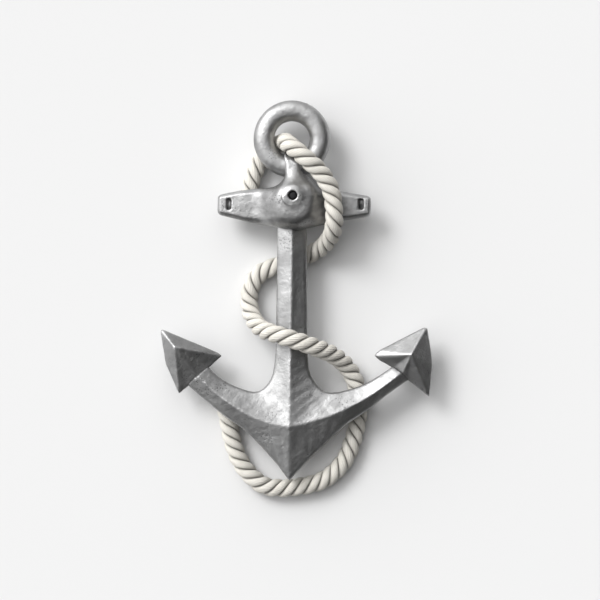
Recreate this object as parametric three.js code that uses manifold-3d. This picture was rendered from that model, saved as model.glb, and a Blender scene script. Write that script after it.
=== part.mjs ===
// A stocked anchor of forged iron that lies on its back, with a laid rope rove through its ring.
// Millimetres. X runs along the stock and the arms, +Y points to the ring, +Z points up.
// Shapes are drawn about the anchor's middle plane, and the whole group is then set down on the ground.
import * as THREE from 'three';
import { mergeVertices } from 'three/addons/utils/BufferGeometryUtils.js';
import Module from 'manifold-3d';

const wasm = await Module();
wasm.setup();

// Driving dimensions
const MIDDLE_HEIGHT = 64; // the anchor's middle plane above the ground
const GAP = 0.35; // left between pieces that fit each other

const SHANK_HALF_WIDTH = 32.5;
const SHANK_TOP_Y = 227; // the shank's end inside the stock's boss
const SHANK_NECK_Y = 120; // where it leaves the boss; above this it is straight
const SHANK_RIDGE = 22; // from the middle plane to the shank's ridge
const EDGE_HALF_THICKNESS = 6; // the blunt edge round the shank and the arms
const SHOULDER_WIDTH = 5.5; // the narrow chamfer inside that edge
const SHOULDER_RISE = 4;
const CROWN_RIDGE = 34; // from the middle plane to the point where the crown's four faces meet
const CROWN_X = -6;
const CROWN_Y = -300;
const CROWN_TIP_Y = -420;
const ARM_ROOT_RIDGE = 20; // the arm's ridge where the fluke is welded on
const FLUKE_APEX = 38; // from the middle plane to the fluke's highest point
const FLUKE_EDGE = 3; // half the thickness of a fluke's blunt edge

const BOSS_X = 2;
const BOSS_Y = 183;
const BOSS_RADII = [64, 57, 63];
const PIN_Y = 205.7;
const PIN_RADIUS = 9.5;
const PIN_END = 61; // the pin ends a little below its seats
const PIN_SIDES = 24;
const PIN_CHAMFER = 1.2;
const SEAT_RADIUS = 25;
const SEAT_RIM = 1.5; // the chamfer round each seat
const SEAT_SPREAD = 3; // a seat's side widens this much as it runs into the boss
const SEAT_DEPTH = 24;
const THROUGH = 200; // longer than any hole that goes right through
const SLOT_WIDTH = 10;
const SLOT_HEIGHT = 24;
const SLOT_FLOOR = 5.5; // each slot stops this far from the middle plane
const SLOT_X = [-138.6, 151.8];
const SLOT_Y = 188;

const RING_X = 0;
const RING_Y = 332.2;
const RING_RADIUS = 61.7; // to the middle of the bar
const RING_BAR_RADIUS = 23;
const EYE_Y = RING_Y - RING_RADIUS;
const EYE_PLAY = 1.5; // between the ring's bar and the eye
const EYE_OUTSIDE = 34.5;
const EYE_HALF_LENGTH = 22; // the stretch that widens towards both mouths
const EYE_STEPS = 4;
const EYE_RELIEF = 27.5; // radius kept clear for the ring's bar beyond the mouths
const EYE_RELIEF_END = 60;

const ROPE_RADIUS = 20;
const ROPE_SIDES = 10;
const ROPE_STEPS = 80;
const WHIPPING_RADIUS = 20.5;
const WHIPPING_LENGTH = 32;

// The rope's middle line from end to end: x, y and height above the ground.
const ROPE_ROUTE = [
  [-100, 164, 20.6],
  [-93, 226, 20.6],
  [-85, 256, 20.6],
  [-60, 303.6, 20.2],
  [-44.8, 313.6, 22],
  [-33.6, 320.3, 28.5],
  [-25, 324.1, 38],
  [-16.6, 326, 54],
  [-12.8, 324.7, 77],
  [-8, 319.8, 90.5],
  [1, 312.6, 102.5],
  [30, 287.5, 116],
  [62, 257, 111],
  [85, 217, 107.5],
  [92.6, 159, 106.2],
  [90.5, 133.5, 94],
  [84, 116, 72],
  [69, 98, 46],
  [45, 82, 27],
  [5, 67, 21.1],
  [-69, 38, 20.6],
  [-90, 8, 20.6],
  [-95, -26, 22],
  [-87, -60, 38],
  [-68, -84, 68],
  [-37, -96, 97.5],
  [-2, -107, 107],
  [41, -122, 98],
  [90, -143, 64],
  [123, -172, 34],
  [141, -208, 22],
  [147, -275, 20.6],
  [128, -352, 20.6],
  [108, -388, 20.6],
  [62, -424, 20.6],
  [-52, -436, 20.6],
  [-92, -410, 20.6],
  [-122, -364, 20.6],
  [-144, -275, 20.6],
  [-148, -232, 20.6],
];

// Front-view outlines of each arm and its fluke, from the crown outwards. The two sides are hand-forged
// and differ a little. upper and lower are the arm's edges, ridge is the crest between them.
const LEFT = {
  upper: [[-35, -123], [-44, -190], [-73.5, -223], [-115.5, -215.5], [-157.5, -194.5], [-184.4, -168]],
  ridge: [[CROWN_X, CROWN_Y], [-65, -287], [-124, -257.5], [-174.5, -220], [-207.2, -188]],
  lower: [[CROWN_X, CROWN_TIP_Y], [-39.5, -375.5], [-99, -312.5], [-157.5, -270.5], [-230, -208]],
  apex: [-257.5, -124],
  fluke: [
    [-249, -229], [-264.5, -192], [-277.5, -164], [-289.5, -90],
    [-286, -86], [-163, -137.5], [-153, -145],
  ],
};
const RIGHT = {
  upper: [[35, -123], [38, -178], [61, -215.5], [86.5, -226], [128.5, -218], [171, -201], [222, -168]],
  ridge: [[CROWN_X, CROWN_Y], [32, -291], [86.5, -274.5], [149.5, -245], [196, -215.5], [240.2, -182]],
  lower: [
    [CROWN_X, CROWN_TIP_Y], [31.5, -379.5], [70, -342], [120, -295.5],
    [171, -262], [212.5, -228], [258.4, -196],
  ],
  apex: [261, -141],
  fluke: [
    [302.5, -236], [309.8, -164], [306, -132], [298, -84],
    [293, -81], [193, -132], [180, -144], [193.5, -156],
  ],
};
const FILLET_END = { left: 2, right: 3 }; // the point of upper where the shank's flare has become the arm

// Pieces are drawn with the forged iron, the pin's steel and the rope's fibre.
const iron = new THREE.MeshStandardMaterial({ color: 0x5d5d5f, roughness: 0.55, metalness: 0.9 });
const darkIron = new THREE.MeshStandardMaterial({ color: 0x3a3a3c, roughness: 0.6, metalness: 0.9 });
const fibre = new THREE.MeshStandardMaterial({ color: 0xcfc8b8, roughness: 0.95, metalness: 0 });
const twine = new THREE.MeshStandardMaterial({ color: 0x8d8472, roughness: 0.9, metalness: 0 });

// ---- Solids ----

function solidOf(geometry) {
  const plain = geometry.clone();
  plain.deleteAttribute('normal');
  plain.deleteAttribute('uv');
  const merged = mergeVertices(plain, 1e-4);
  return new wasm.Manifold(new wasm.Mesh({
    numProp: 3,
    vertProperties: new Float32Array(merged.attributes.position.array),
    triVerts: new Uint32Array(merged.index.array),
  }));
}

function geometryOf(solid) {
  const mesh = solid.getMesh();
  const geometry = new THREE.BufferGeometry();
  geometry.setAttribute('position', new THREE.BufferAttribute(mesh.vertProperties, 3));
  geometry.setIndex(new THREE.BufferAttribute(mesh.triVerts, 1));
  geometry.computeVertexNormals();
  return geometry;
}

function geometryOfFaces(faces) {
  const geometry = new THREE.BufferGeometry().setFromPoints(faces.flat());
  return mergeVertices(geometry, 1e-4);
}

// Two lines of points with as many points each, joined by a band of triangles that face up.
function band(from, to) {
  const faces = [];
  for (let i = 0; i + 1 < from.length; i++) {
    faces.push(faceUp(from[i], from[i + 1], to[i + 1]));
    faces.push(faceUp(from[i], to[i + 1], to[i]));
  }
  return faces;
}

function faceUp(a, b, c) {
  const turn = (b.x - a.x) * (c.y - a.y) - (b.y - a.y) * (c.x - a.x);
  return turn > 0 ? [a, b, c] : [a, c, b];
}

// Closes a front surface with its mirror image in the middle plane and a wall along every open edge.
function withBack(front) {
  const mirror = p => new THREE.Vector3(p.x, p.y, -p.z);
  const name = (a, b) => `${a.toArray()} ${b.toArray()}`;
  const sides = front.flatMap(f => f.map((p, i) => [p, f[(i + 1) % 3]]));
  const names = new Set(sides.map(([a, b]) => name(a, b)));
  const faces = [...front];
  for (const [a, b, c] of front) faces.push([mirror(a), mirror(c), mirror(b)]);
  for (const [a, b] of sides) {
    if (names.has(name(b, a))) continue;
    faces.push([b, a, mirror(a)], [b, mirror(a), mirror(b)]);
  }
  return geometryOfFaces(faces);
}

// A solid through closed rings of points; each ring is convex and has as many points as the next.
function loft(rings) {
  const faces = [];
  for (let k = 0; k + 1 < rings.length; k++) {
    const ring = rings[k];
    const next = rings[k + 1];
    for (let i = 0; i < ring.length; i++) {
      const j = (i + 1) % ring.length;
      faces.push([ring[i], ring[j], next[j]], [ring[i], next[j], next[i]]);
    }
  }
  const first = rings[0];
  const last = rings.at(-1);
  for (let i = 1; i + 1 < first.length; i++) {
    faces.push([first[0], first[i + 1], first[i]], [last[0], last[i], last[i + 1]]);
  }
  return geometryOfFaces(faces);
}

function mesh(name, geometry, material) {
  const piece = new THREE.Mesh(geometry, material);
  piece.name = name;
  return piece;
}

// ---- Shank, crown and arms: one forging ----

const point = (x, y, z) => new THREE.Vector3(x, y, z);

function lineThrough(points) {
  return new THREE.SplineCurve(points.map(([x, y]) => new THREE.Vector2(x, y)));
}

// Points at even steps of a line's parameter, from one of its shares to another.
function samples(line, from, to, count) {
  return Array.from({ length: count + 1 }, (_, i) => line.getPoint(from + ((to - from) * i) / count));
}

// The narrow chamfer's inner line: a little way in from each edge point towards its ridge point.
function shoulderOf(edge, ridge) {
  return edge.map((p, i) => {
    const inward = ridge[i].clone().sub(p).setZ(0).normalize().multiplyScalar(SHOULDER_WIDTH);
    return p.clone().add(inward).setZ(EDGE_HALF_THICKNESS + SHOULDER_RISE);
  });
}

function faceBetween(edge, ridge) {
  const shoulder = shoulderOf(edge, ridge);
  return [...band(edge, shoulder), ...band(shoulder, ridge)];
}

const FLARE_STEPS = 7;
const ARM_STEPS = 10;

// One side of the forging's front: half the shank, the flare into the arm, and the arm to its root.
function frontSide(side, flareEnd, sign) {
  const upper = lineThrough(side.upper);
  const share = flareEnd / (side.upper.length - 1);
  const atEdge = p => point(p.x, p.y, EDGE_HALF_THICKNESS);
  const straight = [SHANK_TOP_Y, SHANK_NECK_Y];
  const shankEdge = straight.map(y => point(sign * SHANK_HALF_WIDTH, y, EDGE_HALF_THICKNESS))
    .concat(samples(upper, 0, share, FLARE_STEPS).map(atEdge));
  const shankRidge = straight.map(y => point(0, y, SHANK_RIDGE));
  const flareTop = side.upper[0][1];
  for (let i = 0; i <= FLARE_STEPS; i++) {
    const t = i / FLARE_STEPS;
    const down = THREE.MathUtils.lerp(flareTop, CROWN_Y, t);
    const lean = CROWN_X * (SHANK_NECK_Y - down) / (SHANK_NECK_Y - CROWN_Y);
    shankRidge.push(point(lean, down, THREE.MathUtils.lerp(SHANK_RIDGE, CROWN_RIDGE, t * t)));
  }
  const armRidge = samples(lineThrough(side.ridge), 0, 1, ARM_STEPS).map((p, i) => {
    const left = (1 - i / ARM_STEPS) ** 2; // the crest drops fast near the crown, then runs level
    return point(p.x, p.y, ARM_ROOT_RIDGE + (CROWN_RIDGE - ARM_ROOT_RIDGE) * left);
  });
  const armUpper = samples(upper, share, 1, ARM_STEPS).map(atEdge);
  const armLower = samples(lineThrough(side.lower), 0, 1, ARM_STEPS).map(atEdge);
  return [
    ...faceBetween(shankEdge, shankRidge),
    ...faceBetween(armUpper, armRidge),
    ...faceBetween(armLower, armRidge),
  ];
}

function shankAndArms() {
  const left = frontSide(LEFT, FILLET_END.left, -1);
  const right = frontSide(RIGHT, FILLET_END.right, 1);
  return solidOf(withBack([...left, ...right])).subtract(pinHole());
}

function pinHole() {
  const radius = PIN_RADIUS + GAP;
  return solidOf(upright(new THREE.CylinderGeometry(radius, radius, THROUGH, PIN_SIDES)))
    .translate([BOSS_X, PIN_Y, 0]);
}

// Stands a shape that was made along Y up along Z.
function upright(geometry) {
  return geometry.rotateX(Math.PI / 2);
}

// ---- Flukes: four-sided barbed points, one welded to each arm ----

function fluke(side) {
  const c = side.upper.at(-1);
  const root = side.ridge.at(-1);
  const d = side.lower.at(-1);
  const along = new THREE.Vector2(side.apex[0] - root[0], side.apex[1] - root[1]);
  const away = along.normalize().multiplyScalar(GAP);
  const clear = ([x, y], z) => point(x + away.x, y + away.y, z);
  const edge = side.fluke.map(([x, y]) => point(x, y, FLUKE_EDGE));
  const base = [clear(c, EDGE_HALF_THICKNESS), clear(root, ARM_ROOT_RIDGE), clear(d, EDGE_HALF_THICKNESS)];
  const rim = [...base, ...edge];
  const apex = point(...side.apex, FLUKE_APEX);
  return withBack(rim.map((p, i) => faceUp(apex, p, rim[(i + 1) % rim.length])));
}

// ---- Stock: the cross bar with its boss, and the neck with the ring's eye, in one forging ----

// x, middle y, half height, half thickness and corner cut of the bar's sections, from left to right
const STOCK_SECTIONS = [
  [-163.5, 187.5, 17, 9, 5],
  [-158, 187.5, 22.5, 14, 7],
  [-114, 186, 32.5, 17, 8],
  [-84, 184.5, 37.5, 20, 9],
  [-62, 183, 41, 28, 12],
  [-38, 182, 44, 41, 17],
  [BOSS_X, 181, 48, 54, 22],
  [42, 182, 44, 41, 17],
  [66, 183, 41, 28, 12],
  [86, 183.5, 37, 19.5, 9],
  [118, 184, 31, 16.5, 8],
  [168, 184, 22.5, 14, 7],
  [173.5, 184, 17, 9, 5],
];

function stockBar() {
  return loft(STOCK_SECTIONS.map(([x, y, h, t, cut]) => [
    point(x, y + h - cut, t),
    point(x, y - h + cut, t),
    point(x, y - h, t - cut),
    point(x, y - h, cut - t),
    point(x, y - h + cut, -t),
    point(x, y + h - cut, -t),
    point(x, y + h, cut - t),
    point(x, y + h, t - cut),
  ]));
}

// y, width to the left and to the right of the middle, half thickness and corner power of the neck's
// sections, from the boss up to the eye; a power of 2 is an ellipse, a higher one nearer to a rectangle.
// The right side runs into the boss with a fuller curve than the left.
const NECK_SECTIONS = [
  [150, 58, 60, 56, 2],
  [200, 53, 62, 60, 2.6],
  [214, 47, 60, 60, 2.7],
  [226, 38, 55, 57, 2.8],
  [232, 31, 51, 53.5, 2.8],
  [240, 24.5, 45, 48, 2.8],
  [247, 21, 37.5, 43, 3],
  [254, 19.5, 28, 39, 3.4],
  [262, 19.5, 21.5, 35.5, 4.1],
  [EYE_Y, 19.5, 19.5, EYE_OUTSIDE, 4.8],
  [EYE_Y + EYE_OUTSIDE + 1, 19.5, 19.5, EYE_OUTSIDE, 4.8],
];
const NECK_SIDES = 32;

function neck() {
  const turns = Array.from({ length: NECK_SIDES }, (_, i) => (2 * Math.PI * i) / NECK_SIDES);
  const section = ([y, left, right, t, power]) => turns.map(turn => {
    const reach = v => Math.sign(v) * Math.abs(v) ** (2 / power);
    const w = Math.cos(turn) < 0 ? left : right;
    return point(BOSS_X + w * reach(Math.cos(turn)), y, -t * reach(Math.sin(turn)));
  });
  return solidOf(loft(NECK_SECTIONS.map(section))).intersect(roundEnd());
}

// Everything below the eye's middle, and above it a half cylinder about the eye.
function roundEnd() {
  const foot = NECK_SECTIONS[0][0] - 1;
  const outline = new THREE.Shape()
    .moveTo(foot, -THROUGH / 2)
    .lineTo(EYE_Y, -THROUGH / 2)
    .lineTo(EYE_Y, -EYE_OUTSIDE)
    .absarc(EYE_Y, 0, EYE_OUTSIDE, -Math.PI / 2, Math.PI / 2)
    .lineTo(EYE_Y, THROUGH / 2)
    .lineTo(foot, THROUGH / 2);
  const settings = { depth: THROUGH, bevelEnabled: false, curveSegments: 16 };
  const shape = new THREE.ExtrudeGeometry(outline, settings);
  const toSide = new THREE.Matrix4().makeBasis(point(0, 1, 0), point(0, 0, 1), point(1, 0, 0));
  return solidOf(shape.translate(0, 0, -THROUGH / 2).applyMatrix4(toSide));
}

// The eye widens towards both mouths, because the ring's bar curves away on its inner side.
function eyeHole() {
  const half = [];
  for (let i = 0; i <= EYE_STEPS; i++) {
    const x = (EYE_HALF_LENGTH * i) / EYE_STEPS;
    const reach = RING_RADIUS - Math.sqrt((RING_RADIUS - RING_BAR_RADIUS) ** 2 - x ** 2);
    half.push([reach + EYE_PLAY, x]);
  }
  half.push([EYE_RELIEF, EYE_HALF_LENGTH + EYE_PLAY], [EYE_RELIEF, EYE_RELIEF_END], [0, EYE_RELIEF_END]);
  const other = half.slice(1).reverse().map(([r, x]) => [r, -x]);
  const profile = [...other, ...half].map(([r, x]) => new THREE.Vector2(r, x));
  return solidOf(new THREE.LatheGeometry(profile, 24).rotateZ(-Math.PI / 2)).translate([RING_X, EYE_Y, 0]);
}

function pinSeats() {
  const half = MIDDLE_HEIGHT;
  const foot = [SEAT_RADIUS + SEAT_SPREAD, half - SEAT_DEPTH];
  const side = [[...foot], [SEAT_RADIUS, half - SEAT_RIM], [SEAT_RADIUS - SEAT_RIM, half], [0, half]];
  const profile = [...side.map(([r, h]) => [r, -h]).reverse(), ...side];
  const seats = new THREE.LatheGeometry(profile.map(([r, h]) => new THREE.Vector2(r, h)), 32);
  return solidOf(upright(seats)).translate([BOSS_X, PIN_Y, 0]);
}

// The socket is the shank's own section with a little room, open at the boss's lower side.
function shankSocket() {
  const w = SHANK_HALF_WIDTH + GAP;
  const e = EDGE_HALF_THICKNESS + GAP;
  const shoulder = w - SHOULDER_WIDTH;
  const ring = y => [
    point(w, y, e), point(shoulder, y, e + SHOULDER_RISE + GAP), point(0, y, SHANK_RIDGE + 2 * GAP),
    point(-shoulder, y, e + SHOULDER_RISE + GAP), point(-w, y, e), point(-w, y, -e),
    point(-shoulder, y, -e - SHOULDER_RISE - GAP), point(0, y, -SHANK_RIDGE - 2 * GAP),
    point(shoulder, y, -e - SHOULDER_RISE - GAP), point(w, y, -e),
  ];
  return solidOf(loft([ring(SHANK_TOP_Y + GAP), ring(BOSS_Y - 2 * BOSS_RADII[1])]));
}

// A blind slot in the front of the bar and one in its back, near one end.
function endSlots(x) {
  const block = solidOf(new THREE.BoxGeometry(SLOT_WIDTH, SLOT_HEIGHT, THROUGH));
  const cut = z => block.translate([x, SLOT_Y, z]);
  const away = SLOT_FLOOR + THROUGH / 2;
  return cut(away).add(cut(-away));
}

function stock() {
  const ball = new THREE.SphereGeometry(1, 32, 20).scale(...BOSS_RADII).translate(BOSS_X, BOSS_Y, 0);
  const whole = solidOf(stockBar()).add(solidOf(ball)).add(neck()).add(pinSeats());
  const cuts = [eyeHole(), shankSocket(), pinHole(), ...SLOT_X.map(endSlots)];
  return cuts.reduce((body, cut) => body.subtract(cut), whole);
}

function stockPin() {
  const end = [[PIN_RADIUS, PIN_END - PIN_CHAMFER], [PIN_RADIUS - PIN_CHAMFER, PIN_END], [0, PIN_END]];
  const profile = [...end.map(([r, h]) => [r, -h]).reverse(), ...end];
  const pin = new THREE.LatheGeometry(profile.map(([r, h]) => new THREE.Vector2(r, h)), PIN_SIDES);
  return upright(pin).translate(BOSS_X, PIN_Y, 0);
}

function ring() {
  return new THREE.TorusGeometry(RING_RADIUS, RING_BAR_RADIUS, 16, 48).translate(RING_X, RING_Y, 0);
}

// ---- Rope ----

const route = new THREE.CatmullRomCurve3(
  ROPE_ROUTE.map(([x, y, height]) => point(x, y, height - MIDDLE_HEIGHT)), false, 'centripetal');
route.arcLengthDivisions = 2000;

// A stretch of the rope's route, between two distances along it.
class Stretch extends THREE.Curve {
  constructor(from, to) {
    super();
    this.from = from / route.getLength();
    this.to = to / route.getLength();
  }

  getPoint(t, target) {
    return route.getPointAt(this.from + (this.to - this.from) * t, target);
  }
}

function roundAlong(from, to, radius, steps) {
  const circle = new THREE.Shape(Array.from({ length: ROPE_SIDES }, (_, i) => {
    const turn = (2 * Math.PI * i) / ROPE_SIDES;
    return new THREE.Vector2(radius * Math.cos(turn), radius * Math.sin(turn));
  }));
  const extrudePath = new Stretch(from, to);
  return new THREE.ExtrudeGeometry(circle, { steps, bevelEnabled: false, extrudePath });
}

const ropeEnd = route.getLength();
const ropeFrom = WHIPPING_LENGTH + GAP;

// ---- The whole anchor, set down with the middle of its box over the origin ----

const anchor = new THREE.Group();
anchor.add(
  mesh('shank_and_arms', geometryOf(shankAndArms()), iron),
  mesh('fluke_left', fluke(LEFT), iron),
  mesh('fluke_right', fluke(RIGHT), iron),
  mesh('stock', geometryOf(stock()), iron),
  mesh('stock_pin', stockPin(), darkIron),
  mesh('ring', ring(), iron),
  mesh('rope', roundAlong(ropeFrom, ropeEnd - ropeFrom, ROPE_RADIUS, ROPE_STEPS), fibre),
  mesh('rope_whipping_upper', roundAlong(0, WHIPPING_LENGTH, WHIPPING_RADIUS, 2), twine),
  mesh('rope_whipping_lower', roundAlong(ropeEnd - WHIPPING_LENGTH, ropeEnd, WHIPPING_RADIUS, 2), twine),
);

const ironBox = new THREE.Box3();
for (const piece of anchor.children) {
  if (!piece.name.startsWith('rope')) ironBox.expandByObject(piece);
}
const middle = ironBox.getCenter(new THREE.Vector3());
anchor.position.set(-middle.x, -middle.y, MIDDLE_HEIGHT);

export default anchor;
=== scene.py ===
"""A stocked anchor of worn forged iron, lying on its back, with a laid rope rove through its ring."""

import math

import bmesh
import bpy
import numpy as np
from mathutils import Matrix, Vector, noise
from mathutils.bvhtree import BVHTree


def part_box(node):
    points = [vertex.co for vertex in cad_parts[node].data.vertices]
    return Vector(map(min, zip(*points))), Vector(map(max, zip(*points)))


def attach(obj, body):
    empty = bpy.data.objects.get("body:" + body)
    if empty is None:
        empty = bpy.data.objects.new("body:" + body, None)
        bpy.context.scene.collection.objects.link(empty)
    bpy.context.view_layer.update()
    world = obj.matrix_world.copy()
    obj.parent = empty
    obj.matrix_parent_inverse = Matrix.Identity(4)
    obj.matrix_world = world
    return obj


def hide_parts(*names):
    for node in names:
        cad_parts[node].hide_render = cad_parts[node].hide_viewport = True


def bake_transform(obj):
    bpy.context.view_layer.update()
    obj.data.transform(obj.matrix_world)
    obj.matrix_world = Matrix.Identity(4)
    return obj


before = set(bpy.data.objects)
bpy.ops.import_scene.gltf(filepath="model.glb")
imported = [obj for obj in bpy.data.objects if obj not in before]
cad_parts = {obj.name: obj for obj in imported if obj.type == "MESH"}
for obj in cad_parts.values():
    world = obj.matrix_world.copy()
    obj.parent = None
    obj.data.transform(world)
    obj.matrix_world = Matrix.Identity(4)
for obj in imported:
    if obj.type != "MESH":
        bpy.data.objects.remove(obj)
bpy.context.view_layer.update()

ring_low, ring_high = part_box("ring")
RING_CENTRE = (ring_low + ring_high) / 2
MIDDLE_HEIGHT = RING_CENTRE.z
GROUND = 0.0


def link(thing):
    bpy.context.scene.collection.objects.link(thing)
    return thing


# ---- Camera: straight above, with the ring towards the top of the view ----

FIELD_WIDTH = 1.32  # how much of the anchor's middle plane the view takes in
CAMERA_HEIGHT = 6.0
CAMERA_AIM = (0.0075, -0.0204)


def add_camera():
    data = bpy.data.cameras.new("camera")
    data.lens = data.sensor_width * (CAMERA_HEIGHT - MIDDLE_HEIGHT) / FIELD_WIDTH
    data.clip_end = 40
    camera = link(bpy.data.objects.new("camera", data))
    camera.location = (*CAMERA_AIM, CAMERA_HEIGHT)
    bpy.context.scene.camera = camera


add_camera()


# ---- Rope: three strands laid left-handed, with a twine whipping at each end ----

ROPE_DIAMETER = 0.040
LAY_LENGTH = 0.078  # along the rope, for one whole turn of a strand
STRANDS = 3
STRAND_RADIUS = 0.0094
STRAND_OFFSET = ROPE_DIAMETER / 2 - STRAND_RADIUS
STRAND_COLUMNS = 24
ROPE_RINGS = 860
YARN_TURNS = 1.25  # how far the yarns run back against the strands' own turn
RING_Y = 0.3322  # the ring's middle in the route's own coordinates

# The rope's middle line from end to end: x, y and height above the ground.
ROPE_ROUTE = [
    (-0.1, 0.164, 0.0206),
    (-0.093, 0.226, 0.0206),
    (-0.085, 0.256, 0.0206),
    (-0.06, 0.3036, 0.0202),
    (-0.0448, 0.3136, 0.022),
    (-0.0336, 0.3203, 0.0285),
    (-0.025, 0.3241, 0.038),
    (-0.0166, 0.326, 0.054),
    (-0.0128, 0.3247, 0.077),
    (-0.008, 0.3198, 0.0905),
    (0.001, 0.3126, 0.1025),
    (0.03, 0.2875, 0.116),
    (0.062, 0.257, 0.111),
    (0.085, 0.217, 0.1075),
    (0.0926, 0.159, 0.1062),
    (0.0905, 0.1335, 0.094),
    (0.084, 0.116, 0.072),
    (0.069, 0.098, 0.046),
    (0.045, 0.082, 0.027),
    (0.005, 0.067, 0.0211),
    (-0.069, 0.038, 0.0206),
    (-0.09, 0.008, 0.0206),
    (-0.095, -0.026, 0.022),
    (-0.087, -0.06, 0.038),
    (-0.068, -0.084, 0.068),
    (-0.037, -0.096, 0.0975),
    (-0.002, -0.107, 0.107),
    (0.041, -0.122, 0.098),
    (0.09, -0.143, 0.064),
    (0.123, -0.172, 0.034),
    (0.141, -0.208, 0.022),
    (0.147, -0.275, 0.0206),
    (0.128, -0.352, 0.0206),
    (0.108, -0.388, 0.0206),
    (0.062, -0.424, 0.0206),
    (-0.052, -0.436, 0.0206),
    (-0.092, -0.41, 0.0206),
    (-0.122, -0.364, 0.0206),
    (-0.144, -0.275, 0.0206),
    (-0.148, -0.232, 0.0206),
]


def even_points(line, count):
    """The same line as count points, evenly spaced, with its whole length."""
    steps = np.linalg.norm(np.diff(line, axis=0), axis=1)
    reached = np.concatenate([[0], np.cumsum(steps)])
    wanted = np.linspace(0, reached[-1], count)
    return np.stack([np.interp(wanted, reached, line[:, k]) for k in range(3)], axis=1), reached[-1]


def smooth_line(points, per_span=40):
    """A centripetal Catmull-Rom curve through the points."""
    points = [np.array(p) for p in points]
    points = [2 * points[0] - points[1], *points, 2 * points[-1] - points[-2]]
    t = np.linspace(0, 1, per_span, endpoint=False)[:, None]
    line = []
    for p0, p1, p2, p3 in zip(points, points[1:], points[2:], points[3:]):
        a, b, c = (math.sqrt(np.linalg.norm(q - p)) for p, q in ((p0, p1), (p1, p2), (p2, p3)))
        out = ((p1 - p0) / a - (p2 - p0) / (a + b) + (p2 - p1) / b) * b
        into = ((p2 - p1) / b - (p3 - p1) / (b + c) + (p3 - p2) / c) * b
        cubic = 2 * p1 - 2 * p2 + out + into
        square = 3 * p2 - 3 * p1 - 2 * out - into
        line.append(p1 + out * t + square * t**2 + cubic * t**3)
    return np.concatenate([*line, points[-2][None]])


def unit(vectors):
    return vectors / np.linalg.norm(vectors, axis=-1, keepdims=True)


def smooth_step(values, low, high):
    """0 up to low, 1 from high on, and a smooth rise between them."""
    t = np.clip((values - low) / (high - low), 0, 1)
    return t * t * (3 - 2 * t)


def frames_along(line):
    """The line's direction at each point, and two more across it that don't twist about it."""
    forward = unit(np.gradient(line, axis=0))
    across = np.zeros_like(line)
    side = np.cross(forward[0], (0, 0, 1))
    for i, direction in enumerate(forward):
        side = side - direction * side.dot(direction)
        side = side / np.linalg.norm(side)
        across[i] = side
    return forward, across, np.cross(forward, across)


def mesh_object(name, vertices, faces):
    """A smoothly shaded object of these points and faces."""
    mesh = bpy.data.meshes.new(name)
    mesh.from_pydata([tuple(v) for v in vertices], [], faces)
    mesh.update()
    mesh.shade_smooth()
    return link(bpy.data.objects.new(name, mesh))


def skin(rings, columns):
    """Quads between neighbouring rings of columns vertices each, and the two flat ends' fans."""
    faces = []
    for i in range(rings - 1):
        for c in range(columns):
            n = (c + 1) % columns
            faces.append((i * columns + c, i * columns + n, (i + 1) * columns + n, (i + 1) * columns + c))
    first, last = rings * columns, rings * columns + 1
    end = (rings - 1) * columns
    for c in range(columns):
        n = (c + 1) % columns
        faces.append((first, n, c))
        faces.append((last, end + c, end + n))
    return faces


def strand_section():
    """One strand's outer skin between its two creases: angle in the strand, and place in the rope."""
    lay_angle = math.atan(2 * math.pi * STRAND_OFFSET / LAY_LENGTH)
    half_width = STRAND_RADIUS / math.cos(lay_angle)
    turn = np.linspace(0, math.pi, 2000)
    x = STRAND_OFFSET + STRAND_RADIUS * np.cos(turn)
    y = half_width * np.sin(turn)
    crease = np.interp(math.pi / STRANDS, np.arctan2(y, x), turn)
    turn = np.linspace(-crease, crease, STRAND_COLUMNS + 1)
    x = STRAND_OFFSET + STRAND_RADIUS * np.cos(turn)
    y = half_width * np.sin(turn)
    return turn, np.hypot(x, y), np.arctan2(y, x)


def set_attribute(mesh, name, values):
    attribute = mesh.attributes.new(name, "FLOAT", "POINT")
    attribute.data.foreach_set("value", np.asarray(values, np.float32).ravel())


WHIPPING_FROM = 0.006  # from the rope's end
WHIPPING_TO = 0.031
WHIPPED_RADIUS = 0.0186
NARROWS_BEFORE = 0.004  # the rope begins to narrow this far short of its whipping
NARROWS_OVER = 0.006
END_BULGE = 0.0035
STRAND_LUMPINESS = 0.022


def rope_girth(along, length):
    """The rope's thickness at each place, as a share: nipped in under the whippings."""
    from_end = np.minimum(along, length - along)
    narrowed = smooth_step(WHIPPING_TO + NARROWS_BEFORE - from_end, 0, NARROWS_OVER)
    return 1 - narrowed * (1 - WHIPPED_RADIUS / (ROPE_DIAMETER / 2))


def laid_rope(line, length):
    """The rope along its line, marked with how deep each place lies in a crease."""
    turn, reach, bearing = strand_section()
    forward, across, above = frames_along(line)
    along = np.linspace(0, length, len(line))
    lay = -2 * math.pi * along / LAY_LENGTH
    girth = rope_girth(along, length)
    vertices, hollow = [], []
    for i, centre in enumerate(line):
        for strand in range(STRANDS):
            start = lay[i] + strand * 2 * math.pi / STRANDS
            lump = 1 + STRAND_LUMPINESS * noise.noise(Vector((along[i] * 45, strand * 7.3, 0)))
            angle = start + bearing[:-1]
            radius = reach[:-1] * girth[i] * lump
            vertices.append(centre + radius[:, None] * (
                np.cos(angle)[:, None] * across[i] + np.sin(angle)[:, None] * above[i]))
            hollow.append((reach.max() - reach[:-1]) / (reach.max() - reach.min()))
    vertices = np.concatenate(vertices)
    vertices[:, 2] = np.maximum(vertices[:, 2], GROUND)
    ends = np.stack([line[0] - forward[0] * END_BULGE, line[-1] + forward[-1] * END_BULGE])
    columns = STRANDS * STRAND_COLUMNS
    rope = mesh_object("laid_rope", np.concatenate([vertices, ends]), skin(len(line), columns))
    set_attribute(rope.data, "hollow", np.concatenate([*hollow, [0, 0]]))
    add_lay_map(rope.data, turn, along, columns)
    return rope


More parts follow.
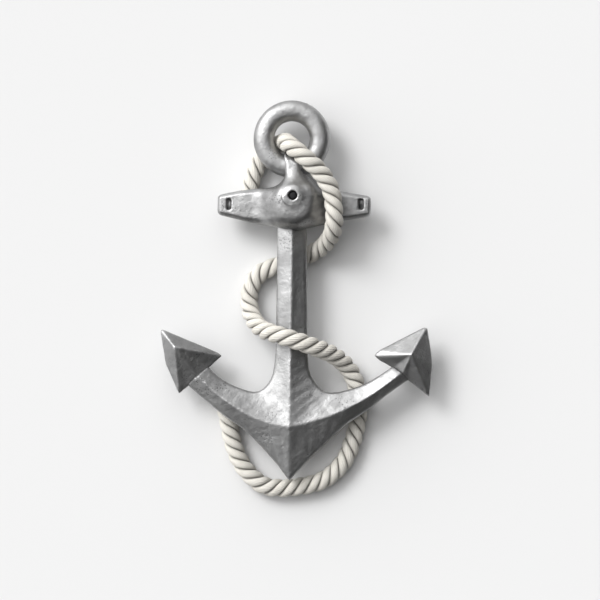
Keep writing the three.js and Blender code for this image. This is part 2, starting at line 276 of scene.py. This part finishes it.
def add_lay_map(mesh, turn, along, columns):
    """A map whose first number runs across the yarns and whose second runs along the rope."""
    turns_back = YARN_TURNS * along / LAY_LENGTH
    across = turn[None, :] / (2 * math.pi) - turns_back[:, None]
    corners = []
    for i in range(len(along) - 1):
        for c in range(columns):
            k = c % STRAND_COLUMNS
            corners += [across[i, k], along[i], across[i, k + 1], along[i]]
            corners += [across[i + 1, k + 1], along[i + 1], across[i + 1, k], along[i + 1]]
    corners += [0.0] * (2 * len(mesh.loops) - len(corners))  # the two ends' fans show no yarns
    layer = mesh.uv_layers.new(name="lay")
    layer.data.foreach_set("uv", np.array(corners, np.float32))


TWINE_TURNS = 12
TWINE_ROWS = 6
TWINE_COLUMNS = 56
TWINE_THICKNESS = 0.0019
SLEEVE_END_STEP = 0.0012  # how much smaller the sleeve's two end rows are


def whipping(name, line, length, from_start):
    """A sleeve of tight twine turns about one end of the rope."""
    rows = TWINE_TURNS * TWINE_ROWS
    along = np.linspace(WHIPPING_FROM, WHIPPING_TO, rows + 1)
    if not from_start:
        along = length - along[::-1]
    share = np.linspace(0, length, len(line))
    middle = np.stack([np.interp(along, share, line[:, k]) for k in range(3)], axis=1)
    forward, across, above = frames_along(middle)
    vertices = []
    for i in range(rows + 1):
        turn = np.arange(TWINE_COLUMNS) * 2 * math.pi / TWINE_COLUMNS
        wound = i / TWINE_ROWS + turn / (2 * math.pi)
        radius = WHIPPED_RADIUS + TWINE_THICKNESS * np.abs(np.sin(math.pi * wound)) ** 0.6
        radius = radius - SLEEVE_END_STEP * (i in (0, rows))
        vertices.append(middle[i] + radius[:, None] * (
            np.cos(turn)[:, None] * across[i] + np.sin(turn)[:, None] * above[i]))
    vertices = np.concatenate([*vertices, middle[:1], middle[-1:]])
    sleeve = mesh_object(name, vertices, skin(rows + 1, TWINE_COLUMNS))
    hollow = 1 - np.abs(np.sin(math.pi * (np.arange(rows + 1) / TWINE_ROWS)))
    set_attribute(sleeve.data, "hollow", np.concatenate([np.repeat(hollow, TWINE_COLUMNS), [0, 0]]))
    return sleeve


def add_rope():
    start = Vector((RING_CENTRE.x, RING_CENTRE.y - RING_Y, 0))
    route = [start + Vector(p) for p in ROPE_ROUTE]
    line, length = even_points(smooth_line(route), ROPE_RINGS)
    rope = laid_rope(line, length)
    whippings = [
        whipping("whipping_upper", line, length, True),
        whipping("whipping_lower", line, length, False),
    ]
    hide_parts("rope")
    for sleeve, node in zip(whippings, ("rope_whipping_upper", "rope_whipping_lower")):
        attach(sleeve, "anchor")
        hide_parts(node)
    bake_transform(rope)
    return rope, whippings


rope, whippings = add_rope()


# ---- Forged iron: each CAD piece remeshed finely, with worn edges, filled corners and hammer marks ----

WELD_GAP = 0.001  # corners nearer than this to the neighbouring node are welded to it
WELD_REACH = 0.004  # how far they run into it
WELD_SHADE = 0.014  # how far from a weld its edges are left unrubbed
FILLET_ROUNDS = 70
HAMMER_DEPTH = 0.00045
NICK_COUNT = 26
NICK_WIDTH = (0.003, 0.008)
NICK_DEPTH = (0.05, 0.14)  # as a share of its width
NICKED_EDGE = 0.7  # only edges at least this sharp are nicked
EDGE_BULGE = 0.0016  # how far a fully rubbed edge stands out from its surroundings
HOLLOW_BULGE = 0.0014  # how far a fully dirty corner lies back from them
FLAT_BULGE = 0.0015  # from here on a place is no longer flat, and its hammer marks are shallower


def tree_of(source):
    """A CAD node's surface, to measure distances to."""
    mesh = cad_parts[source].data
    return BVHTree.FromPolygons([v.co for v in mesh.vertices], [tuple(f.vertices) for f in mesh.polygons])


def forged_copy(name, source, voxel, welded_to=None):
    """A fine, even mesh of a CAD node's own shape. Its welded end runs a little way into its neighbour."""
    rough = bmesh.new()
    rough.from_mesh(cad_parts[source].data)
    bmesh.ops.remove_doubles(rough, verts=rough.verts, dist=1e-6)
    if welded_to:
        neighbour = tree_of(welded_to)
        for corner in rough.verts:
            _, facing, _, gap = neighbour.find_nearest(corner.co)
            if gap < WELD_GAP:
                corner.co -= facing * WELD_REACH
    mesh = bpy.data.meshes.new(name)
    rough.to_mesh(mesh)
    rough.free()
    piece = link(bpy.data.objects.new(name, mesh))
    remesh = piece.modifiers.new("even_mesh", "REMESH")
    remesh.mode = "VOXEL"
    remesh.voxel_size = voxel
    graph = bpy.context.evaluated_depsgraph_get()
    fine = bpy.data.meshes.new_from_object(piece.evaluated_get(graph))
    piece.modifiers.clear()
    piece.data = fine
    fine.name = name
    fine.materials.clear()
    bpy.data.meshes.remove(mesh)
    fine.shade_smooth()
    return piece


def places(mesh):
    """Where a mesh's points are."""
    found = np.empty(3 * len(mesh.vertices), np.float32)
    mesh.vertices.foreach_get("co", found)
    return found.reshape(-1, 3).astype(float)


def normals(mesh):
    """Which way a mesh's surface faces at each of its points."""
    found = np.empty(3 * len(mesh.vertices), np.float32)
    mesh.vertex_normals.foreach_get("vector", found)
    return found.reshape(-1, 3).astype(float)


class Relaxer:
    """Moves a mesh's points towards the middle of their neighbours."""

    def __init__(self, mesh):
        edges = np.empty(2 * len(mesh.edges), np.int32)
        mesh.edges.foreach_get("vertices", edges)
        self.first, self.second = edges.reshape(-1, 2).T
        self.count = len(mesh.vertices)
        ends = np.concatenate([self.first, self.second])
        self.neighbours = np.bincount(ends, minlength=self.count)[:, None]

    def means(self, points):
        """The middle of each point's neighbours."""
        total = np.empty_like(points)
        for k in range(points.shape[1]):
            total[:, k] = np.bincount(self.first, points[self.second, k], self.count)
            total[:, k] += np.bincount(self.second, points[self.first, k], self.count)
        return total / self.neighbours

    def relax(self, points, rounds, share=0.5):
        for _ in range(rounds):
            points = points + share * (self.means(points) - points)
        return points


def nicks(points, edge, seed):
    """How deep each place is knocked in, by small blows on the edges."""
    chance = np.random.default_rng(seed)
    on_edge = np.flatnonzero(edge > NICKED_EDGE)
    depth = np.zeros(len(points))
    if not len(on_edge):
        return depth
    for blow in chance.choice(on_edge, NICK_COUNT):
        width = chance.uniform(*NICK_WIDTH)
        far = np.linalg.norm(points - points[blow], axis=1)
        depth = np.maximum(depth, chance.uniform(*NICK_DEPTH) * width * smooth_step(-far, -width, 0))
    return depth


def finish_forging(piece, seed, swelling=None, fillet=None, recess=None, welds=()):
    """Rounds the edges a little and leaves hammer marks and nicks. swelling moves the surface out first,
    fillet says where corners are filled, and recess says which places are painted dark as shade."""
    mesh = piece.data
    relaxer = Relaxer(mesh)
    points = relaxer.relax(places(mesh), 3)
    if swelling is not None:
        points = points + swelling(points, normals(mesh))
    if fillet is not None:
        share = fillet(points)[:, None]
        for _ in range(FILLET_ROUNDS):
            points = points + 0.7 * share * (relaxer.means(points) - points)
    mesh.vertices.foreach_set("co", points.astype(np.float32).ravel())
    mesh.update()
    outward = normals(mesh)
    bulge = ((points - relaxer.relax(points, 12)) * outward).sum(axis=1)
    edge = np.clip(relaxer.relax(bulge[:, None], 2)[:, 0] / EDGE_BULGE, 0, 1)
    hollow = np.clip(relaxer.relax(-bulge[:, None], 3)[:, 0] / HOLLOW_BULGE, 0, 1)
    if fillet is not None:
        hollow = hollow * (1 - 0.8 * share[:, 0])
    # The recess mask is painted shade. It is added to the hollow mark so that the slots come out dark.
    if recess is not None:
        inside = recess(points)
        hollow = np.maximum(hollow, inside)
        edge = edge * (1 - inside)
    for weld in welds:
        neighbour = tree_of(weld)
        near = np.array([neighbour.find_nearest(p)[3] for p in points])
        edge = edge * smooth_step(near, 0.002, WELD_SHADE)
        hollow = np.maximum(hollow, 0.5 * (1 - smooth_step(near, 0.0, WELD_SHADE)))
    marks = np.array([hammer_mark(p, seed) for p in points])
    flat = 1 - np.clip(np.abs(bulge) / FLAT_BULGE, 0, 1)
    height = marks * HAMMER_DEPTH * (0.35 + 0.65 * flat) - nicks(points, edge, int(seed * 10))
    points = points + outward * height[:, None]
    mesh.vertices.foreach_set("co", points.astype(np.float32).ravel())
    mesh.update()
    set_attribute(mesh, "edge", edge)
    set_attribute(mesh, "hollow", hollow)


def hammer_mark(point, seed):
    """How far a place stands out, from about -1 to 1: shallow round dents over a slow unevenness."""
    p = Vector(point) + Vector((seed, seed, seed))
    near = noise.voronoi(p * 42)[0][0]
    return 1.4 * min(near, 0.7) - 0.7 + 0.8 * noise.noise(p * 19) + 0.25 * noise.noise(p * 95)


def forge(name, source, voxel=0.0021, welded_to=None, **finish):
    """A finished iron piece that stands for one CAD node."""
    piece = forged_copy(name, source, voxel, welded_to)
    finish_forging(piece, **finish)
    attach(piece, "anchor")
    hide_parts(source)
    return piece


pin_low, pin_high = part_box("stock_pin")
PIN_CENTRE = (pin_low + pin_high) / 2
BOSS_BELOW_PIN = 0.0227
BOSS_CENTRE = PIN_CENTRE - Vector((0, BOSS_BELOW_PIN, 0))
BOSS_HALF_SIZE = (0.066, 0.060)
BOSS_UPWARDS = 0.066  # half height towards the neck
BOSS_FACE = 0.0615  # from the middle plane
BOSS_FULLNESS = 3.2
SWELLING_LIMIT = 0.009


def boss_swelling(points, outward):
    """Fills out the boss's front and back, so that they stay broad and then turn away quickly."""
    u = np.abs(points[:, 0] - BOSS_CENTRE.x) / BOSS_HALF_SIZE[0]
    rise = points[:, 1] - BOSS_CENTRE.y
    v = np.abs(rise) / np.where(rise > 0, BOSS_UPWARDS, BOSS_HALF_SIZE[1])
    room = np.clip(1 - u**BOSS_FULLNESS - v**BOSS_FULLNESS, 0, 1)
    height = points[:, 2] - MIDDLE_HEIGHT
    wanted = BOSS_FACE * room ** (1 / BOSS_FULLNESS) - np.abs(height)
    lift = np.clip(wanted, 0, SWELLING_LIMIT) * smooth_step(np.abs(outward[:, 2]), 0.15, 0.6)
    return np.stack([0 * lift, 0 * lift, np.sign(height) * lift], axis=1)


FILLET_HALF_SIZE = (0.098, 0.080)
PIN_LAND = 0.0125  # radius left flat round the pin
SEAT_LAND = 0.0255  # the same where the seat's rim still shows
RIM_LEFT_TOWARDS = (-0.69, -0.72)
SOCKET_DROP = 0.046  # from the boss's middle down to where the socket's rim is left sharp


def boss_fillet(points):
    """Where the bar, the neck and the boss run into each other, clear of the pin, the eye and the socket.
    Each seat's rim is worn into the boss but for one stretch towards the lower left."""
    from_boss = np.hypot((points[:, 0] - BOSS_CENTRE.x) / FILLET_HALF_SIZE[0],
                         (points[:, 1] - BOSS_CENTRE.y) / FILLET_HALF_SIZE[1])
    across, along = points[:, 0] - PIN_CENTRE.x, points[:, 1] - PIN_CENTRE.y
    from_pin = np.hypot(across, along)
    facing_rim = (RIM_LEFT_TOWARDS[0] * across + RIM_LEFT_TOWARDS[1] * along) / from_pin
    land = PIN_LAND + (SEAT_LAND - PIN_LAND) * smooth_step(facing_rim, 0.55, 0.85)
    below_socket = BOSS_CENTRE.y - SOCKET_DROP - points[:, 1]
    clear = smooth_step(from_pin, land, land + 0.008) * (1 - smooth_step(below_socket, 0.0, 0.010))
    return clear * (1 - smooth_step(from_boss, 0.75, 1.0))


# The blind slots' insides get painted shade: they are darkened through the hollow mark so that they look
# shaded.
SLOT_PLACES = [(-0.1386, -0.1442), (0.1518, -0.1442)]  # from the ring's middle
SLOT_REACH = (0.0062, 0.0132)  # half the slot's own size, and a little over
SLOT_SHADE_BEGINS = 0.0130  # from the middle plane
SLOT_SHADE_FULL = 0.0100


def slot_painted_shade(points):
    """Painted shade inside the blind slots near the bar's ends, darkening their walls and floors."""
    inside = np.zeros(len(points))
    deep = smooth_step(-np.abs(points[:, 2] - MIDDLE_HEIGHT), -SLOT_SHADE_BEGINS, -SLOT_SHADE_FULL)
    for x, y in SLOT_PLACES:
        across = np.abs(points[:, 0] - RING_CENTRE.x - x) < SLOT_REACH[0]
        along = np.abs(points[:, 1] - RING_CENTRE.y - y) < SLOT_REACH[1]
        inside = np.maximum(inside, across * along * deep)
    return inside


shank = forge("forged_shank_and_arms", "shank_and_arms", seed=0.3, welds=["fluke_left", "fluke_right"])
flukes = [
    forge("forged_" + node, node, welded_to="shank_and_arms", seed=seed, welds=["shank_and_arms"])
    for node, seed in (("fluke_left", 1.7), ("fluke_right", 2.9))
]
stock = forge("forged_stock", "stock", voxel=0.0019, seed=4.1,
              swelling=boss_swelling, fillet=boss_fillet, recess=slot_painted_shade)


# ---- Ring: a round bar bent to a circle and welded, a little flattened on its faces ----

RING_SEGMENTS = 240
BAR_SEGMENTS = 64
BAR_SQUARENESS = 2.3
RING_SEED = 6.3
MARKS_SUNK = 0.4  # sets the hammer marks mostly below the bar's own surface


def forged_ring():
    bar = (ring_high.z - ring_low.z) / 2
    radius = (ring_high.x - ring_low.x) / 2 - bar
    vertices = []
    for i in range(RING_SEGMENTS):
        bearing = 2 * math.pi * i / RING_SEGMENTS
        out = Vector((math.cos(bearing), math.sin(bearing), 0))
        for k in range(BAR_SEGMENTS):
            turn = 2 * math.pi * k / BAR_SEGMENTS
            c, s = math.cos(turn), math.sin(turn)
            size = (abs(c) ** BAR_SQUARENESS + abs(s) ** BAR_SQUARENESS) ** (-1 / BAR_SQUARENESS)
            place = RING_CENTRE + out * (radius + bar * size * c) + Vector((0, 0, bar * size * s))
            away = out * c + Vector((0, 0, s))
            vertices.append(place + away * HAMMER_DEPTH * (hammer_mark(place, RING_SEED) - MARKS_SUNK))
    faces = []
    for i in range(RING_SEGMENTS):
        j = (i + 1) % RING_SEGMENTS
        here, there = i * BAR_SEGMENTS, j * BAR_SEGMENTS
        for k in range(BAR_SEGMENTS):
            n = (k + 1) % BAR_SEGMENTS
            faces.append((here + k, there + k, there + n, here + n))
    piece = mesh_object("forged_ring", vertices, faces)
    count = len(vertices)
    set_attribute(piece.data, "edge", np.zeros(count))
    set_attribute(piece.data, "hollow", np.zeros(count))
    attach(piece, "ring")
    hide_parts("ring")
    return piece


ring = forged_ring()


# ---- Pin: a round bar through the boss, its ends hammered over in their seats ----

PIN_SEGMENTS = 56
PEENED_END = [(0.35, 0.0002), (0.62, 0.0007), (0.82, 0.0016), (0.94, 0.003), (1.0, 0.005)]
PEENED_ROUGHNESS = 0.0004


def peened_pin():
    """The pin. PEENED_END gives shares of its radius, and how far each lies below its very end."""
    radius = (pin_high.x - pin_low.x) / 2
    half = (pin_high.z - pin_low.z) / 2
    profile = [(radius * share, half - drop) for share, drop in PEENED_END]
    outline = profile + [(r, -h) for r, h in reversed(profile)]
    vertices = []
    for r, h in outline:
        for k in range(PIN_SEGMENTS):
            turn = 2 * math.pi * k / PIN_SEGMENTS
            place = PIN_CENTRE + Vector((r * math.cos(turn), r * math.sin(turn), h))
            place.z += PEENED_ROUGHNESS * noise.noise(place * 160) * (1 if h > 0 else -1)
            vertices.append(place)
    vertices += [PIN_CENTRE + Vector((0, 0, half)), PIN_CENTRE - Vector((0, 0, half))]
    faces = [tuple(reversed(face)) for face in skin(len(outline), PIN_SEGMENTS)]
    piece = mesh_object("peened_pin", vertices, faces)
    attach(piece, "anchor")
    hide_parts("stock_pin")
    return piece


pin = peened_pin()


# ---- Finishes ----


def node(tree, kind, inputs=None, **settings):
    """A new shader node. inputs holds values, or sockets to link, by socket name or number."""
    made = tree.nodes.new(kind)
    for name, value in settings.items():
        setattr(made, name, value)
    for name, value in (inputs or {}).items():
        if isinstance(value, bpy.types.NodeSocket):
            tree.links.new(value, made.inputs[name])
        else:
            made.inputs[name].default_value = value
    return made


def math_node(tree, operation, a, b=0.0, clamp=False):
    return node(tree, "ShaderNodeMath", {0: a, 1: b}, operation=operation, use_clamp=clamp).outputs[0]


def ramp(tree, value, low, high, to_low=0.0, to_high=1.0):
    """value between low and high, turned smoothly into to_low to to_high."""
    return node(tree, "ShaderNodeMapRange", {
        "Value": value, "From Min": low, "From Max": high, "To Min": to_low, "To Max": to_high,
    }, interpolation_type="SMOOTHSTEP").outputs["Result"]


def grey(level):
    return (level, level, level, 1)


def mixed(tree, share, a, b):
    """Colour a to colour b by share."""
    return node(tree, "ShaderNodeMix", {"Factor": share, 6: a, 7: b}, data_type="RGBA").outputs[2]


def new_group(name, inputs, outputs):
    """An empty node group whose inputs are numbers with defaults."""
    group = bpy.data.node_groups.new(name, "ShaderNodeTree")
    for label, default in inputs.items():
        socket = group.interface.new_socket(label, in_out="INPUT", socket_type="NodeSocketFloat")
        socket.default_value = default
    for label in outputs:
        group.interface.new_socket(label, in_out="OUTPUT", socket_type="NodeSocketFloat")
    return group, group.nodes.new("NodeGroupInput").outputs, group.nodes.new("NodeGroupOutput").inputs


def placed(tree, group, inputs=None):
    """A group placed among a material's own nodes, with that material's values."""
    made = node(tree, "ShaderNodeGroup", node_tree=group)
    for name, value in (inputs or {}).items():
        made.inputs[name].default_value = value
    return made.outputs


def object_place(tree):
    return node(tree, "ShaderNodeTexCoord").outputs["Object"]


def noise_value(tree, where, scale, detail=4.0, roughness=0.55):
    return node(tree, "ShaderNodeTexNoise", {
        "Vector": where, "Scale": scale, "Detail": detail, "Roughness": roughness,
    }).outputs["Fac"]


def forge_surface_group():
    """Height of a forged skin: pits, scale flakes and fine grain."""
    group, given, out = new_group(
        "forged_skin", {"Pits": 1.0, "Flakes": 1.0, "Grain": 1.0}, ["Height", "Pit mask"])
    where = object_place(group)
    pit = node(group, "ShaderNodeTexVoronoi", {"Vector": where, "Scale": 210.0, "Randomness": 1.0})
    pit = ramp(group, pit.outputs["Distance"], 0.10, 0.42, 1.0, 0.0)
    where_pitted = ramp(group, noise_value(group, where, 16.0), 0.50, 0.66)
    pit_mask = math_node(group, "MULTIPLY", pit, where_pitted)
    flakes = ramp(group, noise_value(group, where, 70.0, 6.0, 0.62), 0.42, 0.60)
    grain = noise_value(group, where, 900.0, 2.0)
    height = math_node(group, "MULTIPLY", math_node(group, "MULTIPLY", pit_mask, -1.0), given["Pits"])
    height = math_node(group, "ADD", height, math_node(group, "MULTIPLY", flakes, given["Flakes"]))
    height = math_node(group, "ADD", height, math_node(group, "MULTIPLY", grain, given["Grain"]))
    group.links.new(height, out["Height"])
    group.links.new(pit_mask, out["Pit mask"])
    return group


def wear_grime_and_shade_group():
    """Where edges are rubbed bright, and where grime stays in hollows, both broken up; the hollows' mark
    also carries painted shade inside the stock's slots.
    """
    group, given, out = new_group("wear_grime_and_shade", {"Wear": 1.0, "Grime and shade amount": 1.0}, ["Worn", "Grime and shade"])
    where = object_place(group)
    broken = noise_value(group, where, 60.0, 5.0, 0.6)
    edge = node(group, "ShaderNodeAttribute", attribute_name="edge").outputs["Fac"]
    hollow = node(group, "ShaderNodeAttribute", attribute_name="hollow").outputs["Fac"]
    worn = math_node(group, "ADD", edge, math_node(group, "MULTIPLY", broken, 0.7))
    worn = math_node(group, "MULTIPLY", ramp(group, worn, 0.50, 0.95), given["Wear"])
    patches = ramp(group, noise_value(group, where, 9.0, 5.0, 0.6), 0.52, 0.70)
    grime_and_shade = math_node(group, "ADD", hollow, math_node(group, "MULTIPLY", patches, 0.35))
    grime_and_shade = math_node(group, "MULTIPLY", grime_and_shade, ramp(group, broken, 0.25, 0.6), clamp=True)
    group.links.new(worn, out["Worn"])
    group.links.new(math_node(group, "MULTIPLY", grime_and_shade, given["Grime and shade amount"], clamp=True), out["Grime and shade"])
    return group


FORGED_SKIN = forge_surface_group()
WEAR_GRIME_AND_SHADE = wear_grime_and_shade_group()


def new_material(name):
    material = bpy.data.materials.new(name)
    material.use_nodes = True
    tree = material.node_tree
    return material, tree, tree.nodes["Principled BSDF"]


PIT_COLOUR = (0.03, 0.03, 0.032, 1)
# Near-black: real dirt in hollows, and painted shade inside the stock's slots.
GRIME_AND_SHADE_COLOUR = (0.018, 0.017, 0.017, 1)


def iron_material(name, scale_colour, bare_colour, roughness, wear, grime_and_shade_amount):
    """Forged iron: dull scale, bare metal where it is rubbed, and dark grime in its hollows, with painted
    shade inside the stock's slots.
    """
    material, tree, shader = new_material(name)
    skin_parts = placed(tree, FORGED_SKIN)
    masks = placed(tree, WEAR_GRIME_AND_SHADE, {"Wear": wear, "Grime and shade amount": grime_and_shade_amount})
    where = object_place(tree)
    cloud = ramp(tree, noise_value(tree, where, 13.0, 6.0, 0.6), 0.30, 0.72)
    darker = tuple(0.62 * c for c in scale_colour[:3]) + (1.0,)
    colour = mixed(tree, cloud, darker, scale_colour)
    pitted = math_node(tree, "MULTIPLY", skin_parts["Pit mask"], 0.75)
    colour = mixed(tree, pitted, colour, PIT_COLOUR)
    colour = mixed(tree, masks["Worn"], colour, bare_colour)
    # Real grime in hollows and patches, and painted shade in the stock's slots, both in one dark colour.
    colour = mixed(tree, masks["Grime and shade"], colour, GRIME_AND_SHADE_COLOUR)
    tree.links.new(colour, shader.inputs["Base Color"])
    rough = ramp(tree, cloud, 0.0, 1.0, roughness + 0.12, roughness)
    rough = math_node(tree, "SUBTRACT", rough, math_node(tree, "MULTIPLY", masks["Worn"], 0.12))
    rough = math_node(tree, "ADD", rough, math_node(tree, "MULTIPLY", masks["Grime and shade"], 0.3), clamp=True)
    tree.links.new(rough, shader.inputs["Roughness"])
    metal = math_node(tree, "SUBTRACT", 0.95, math_node(tree, "MULTIPLY", masks["Grime and shade"], 0.6))
    tree.links.new(metal, shader.inputs["Metallic"])
    height = skin_parts["Height"]
    bump = node(tree, "ShaderNodeBump", {"Height": height, "Distance": 0.0006, "Strength": 0.45})
    tree.links.new(bump.outputs["Normal"], shader.inputs["Normal"])
    return material


YARNS = 18  # round one strand
FIBRE_DARK = (0.60, 0.57, 0.51, 1)
FIBRE_PALE = (0.80, 0.78, 0.73, 1)
SOIL_COLOUR = (0.46, 0.43, 0.37, 1)
# The next two colours are painted shade, for the yarn gaps and the strand creases.
PAINTED_YARN_GAP_SHADE = (0.30, 0.27, 0.22, 1)
PAINTED_CREASE_SHADE = (0.035, 0.031, 0.026, 1)


def rope_material():
    """Pale natural fibre: yarns side by side in each strand, with painted shade in the creases and between
    the yarns.
    """
    material, tree, shader = new_material("rope_fibre")
    lay = node(tree, "ShaderNodeUVMap", uv_map="lay").outputs["UV"]
    parts = node(tree, "ShaderNodeSeparateXYZ", {"Vector": lay}).outputs
    phase = math_node(tree, "MULTIPLY", parts["X"], YARNS)
    yarn = math_node(tree, "ABSOLUTE", math_node(tree, "SINE", math_node(tree, "MULTIPLY", phase, math.pi)))
    stretched = node(tree, "ShaderNodeCombineXYZ", {
        "X": math_node(tree, "MULTIPLY", parts["X"], 260.0),
        "Y": math_node(tree, "MULTIPLY", parts["Y"], 60.0),
    }).outputs["Vector"]
    fibres = noise_value(tree, stretched, 1.0, 3.0, 0.6)
    where = object_place(tree)
    hollow = node(tree, "ShaderNodeAttribute", attribute_name="hollow").outputs["Fac"]
    crease = ramp(tree, hollow, 0.06, 0.46)
    soil = ramp(tree, noise_value(tree, where, 22.0, 5.0, 0.6), 0.45, 0.75)
    colour = mixed(tree, fibres, FIBRE_DARK, FIBRE_PALE)
    colour = mixed(tree, math_node(tree, "MULTIPLY", soil, 0.35), colour, SOIL_COLOUR)
    # Painted shade: the grooves between yarns are darkened.
    gap = math_node(tree, "MULTIPLY", ramp(tree, yarn, 0.0, 0.45, 1.0, 0.0), 0.35)
    colour = mixed(tree, gap, colour, PAINTED_YARN_GAP_SHADE)
    # Painted shade: the creases between strands are darkened almost to black.
    colour = mixed(tree, math_node(tree, "MULTIPLY", crease, 0.93), colour, PAINTED_CREASE_SHADE)
    tree.links.new(colour, shader.inputs["Base Color"])
    tree.links.new(ramp(tree, fibres, 0.2, 0.8, 0.95, 0.78), shader.inputs["Roughness"])
    height = math_node(tree, "ADD", yarn, math_node(tree, "MULTIPLY", fibres, 0.5))
    bump = node(tree, "ShaderNodeBump", {"Height": height, "Distance": 0.0011, "Strength": 0.9})
    tree.links.new(bump.outputs["Normal"], shader.inputs["Normal"])
    return material


TWINE_DARK = (0.34, 0.29, 0.21, 1)
TWINE_PALE = (0.55, 0.49, 0.38, 1)
PAINTED_TWINE_GAP_SHADE = (0.05, 0.04, 0.03, 1)


def twine_material():
    """Waxed twine, tan, with painted shade as dark lines between its turns."""
    material, tree, shader = new_material("whipping_twine")
    where = object_place(tree)
    fibres = noise_value(tree, where, 700.0, 3.0, 0.6)
    hollow = node(tree, "ShaderNodeAttribute", attribute_name="hollow").outputs["Fac"]
    colour = mixed(tree, fibres, TWINE_DARK, TWINE_PALE)
    # Painted shade in the grooves between the twine's turns.
    colour = mixed(tree, math_node(tree, "MULTIPLY", hollow, 0.8), colour, PAINTED_TWINE_GAP_SHADE)
    tree.links.new(colour, shader.inputs["Base Color"])
    tree.links.new(ramp(tree, fibres, 0.2, 0.8, 0.75, 0.55), shader.inputs["Roughness"])
    bump = node(tree, "ShaderNodeBump", {"Height": fibres, "Distance": 0.0004, "Strength": 0.6})
    tree.links.new(bump.outputs["Normal"], shader.inputs["Normal"])
    return material


iron = iron_material("forged_iron", grey(0.40), grey(0.54), roughness=0.34, wear=0.5, grime_and_shade_amount=0.9)
ring_iron = iron_material("ring_iron", grey(0.48), grey(0.60), roughness=0.33, wear=0.6, grime_and_shade_amount=0.6)
# The pin's near-black colour is painted shade: it stands in for the dark hole the pin sits in.
pin_steel = iron_material("pin_steel", (0.035, 0.035, 0.038, 1), (0.10, 0.10, 0.105, 1),
                          roughness=0.55, wear=0.3, grime_and_shade_amount=1.0)
fibre = rope_material()
twine = twine_material()


def dress(piece, material):
    piece.data.materials.clear()
    piece.data.materials.append(material)


for piece in (shank, stock, *flukes):
    dress(piece, iron)
dress(ring, ring_iron)
dress(pin, pin_steel)
dress(rope, fibre)
for sleeve in whippings:
    dress(sleeve, twine)


# ---- Floor and light ----

FLOOR_SIZE = 30.0


def add_floor():
    half = FLOOR_SIZE / 2
    corners = [(-half, -half, GROUND), (half, -half, GROUND), (half, half, GROUND), (-half, half, GROUND)]
    floor = mesh_object("floor", corners, [(0, 1, 2, 3)])
    material, tree, shader = new_material("pale_floor")
    shader.inputs["Base Color"].default_value = grey(0.69)
    shader.inputs["Roughness"].default_value = 0.9
    shader.inputs["Specular IOR Level"].default_value = 0.1
    dress(floor, material)


KEY_FROM = Vector((-0.55, 0.55, 0.72))
KEY_STRENGTH = 2.0
KEY_SPREAD = math.radians(25)


def key_light():
    """A broad soft light from the upper left, even over the whole floor."""
    data = bpy.data.lights.new("key", "SUN")
    data.energy = KEY_STRENGTH
    data.angle = KEY_SPREAD
    light = link(bpy.data.objects.new("key", data))
    light.location = KEY_FROM * 3
    light.rotation_euler = KEY_FROM.to_track_quat("Z", "Y").to_euler()


GLOW_FROM = Vector((-0.64, 0.64, 0.42)).normalized()
BACKDROP = 0.91  # how bright the room is where the camera sees it


def studio_world():
    """A soft room: brighter overhead and towards the upper left, dim towards the lower right."""
    world = bpy.data.worlds.new("studio")
    bpy.context.scene.world = world
    world.use_nodes = True
    tree = world.node_tree
    background = tree.nodes["Background"]
    way = node(tree, "ShaderNodeTexCoord").outputs["Generated"]
    facing = node(tree, "ShaderNodeVectorMath", {0: way, 1: tuple(GLOW_FROM)}, operation="DOT_PRODUCT")
    glow = ramp(tree, facing.outputs["Value"], -0.02, 0.90, 0.01, 2.1)
    seen = node(tree, "ShaderNodeLightPath").outputs["Is Camera Ray"]
    strength = node(tree, "ShaderNodeMix", {0: seen, 2: glow, 3: BACKDROP}).outputs[0]
    tree.links.new(strength, background.inputs["Strength"])
    background.inputs["Color"].default_value = (1, 1, 1, 1)


add_floor()
key_light()
studio_world()
bpy.context.scene.view_settings.view_transform = "Standard"
